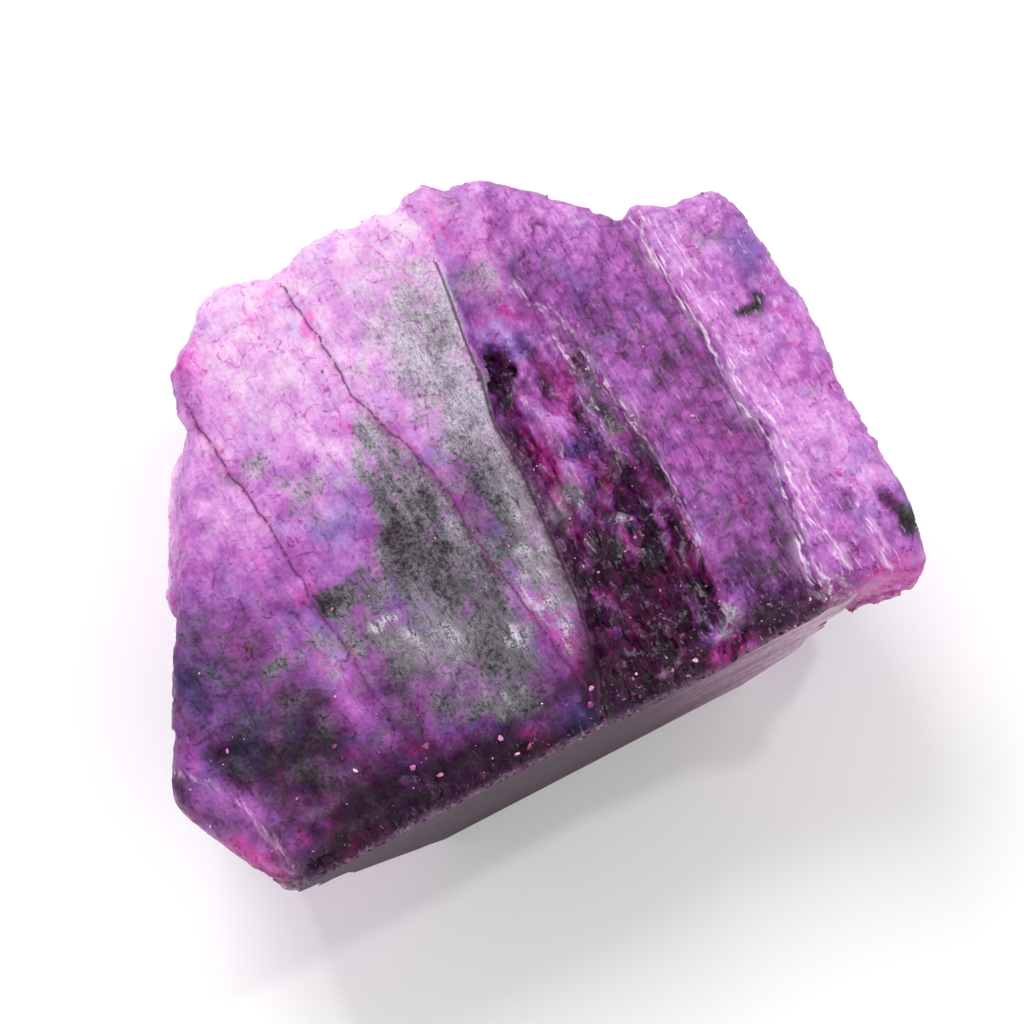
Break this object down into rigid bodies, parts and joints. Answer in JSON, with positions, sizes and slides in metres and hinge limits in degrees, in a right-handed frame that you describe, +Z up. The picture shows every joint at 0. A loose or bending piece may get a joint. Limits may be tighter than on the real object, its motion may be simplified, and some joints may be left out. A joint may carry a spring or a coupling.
{
  "type": "rough purple gemstone",
  "caption": "Rough lump of purple crystal rock with a stepped, broken top, a sawn front wall and a flat sawn base; a natural display or prop stone.",
  "frame": {"origin": "middle of the bounding box in plan, at the height of the flat sawn base", "axes": "+Z up from the sawn base, +X along the longest side, -Y towards the sawn front wall, which faces a little towards +X"},
  "size_m": [0.0502, 0.0476, 0.027],
  "materials": {
    "purple_stone": "granular, translucent crystal rock dyed purple: waxy and half matt, with grey dusty bands, dark broken hollows and small glints; the sawn wall is dull"
  },
  "bodies": {
    "root": {"rough_sapphire": "purple_stone"}
  },
  "joints": []
}
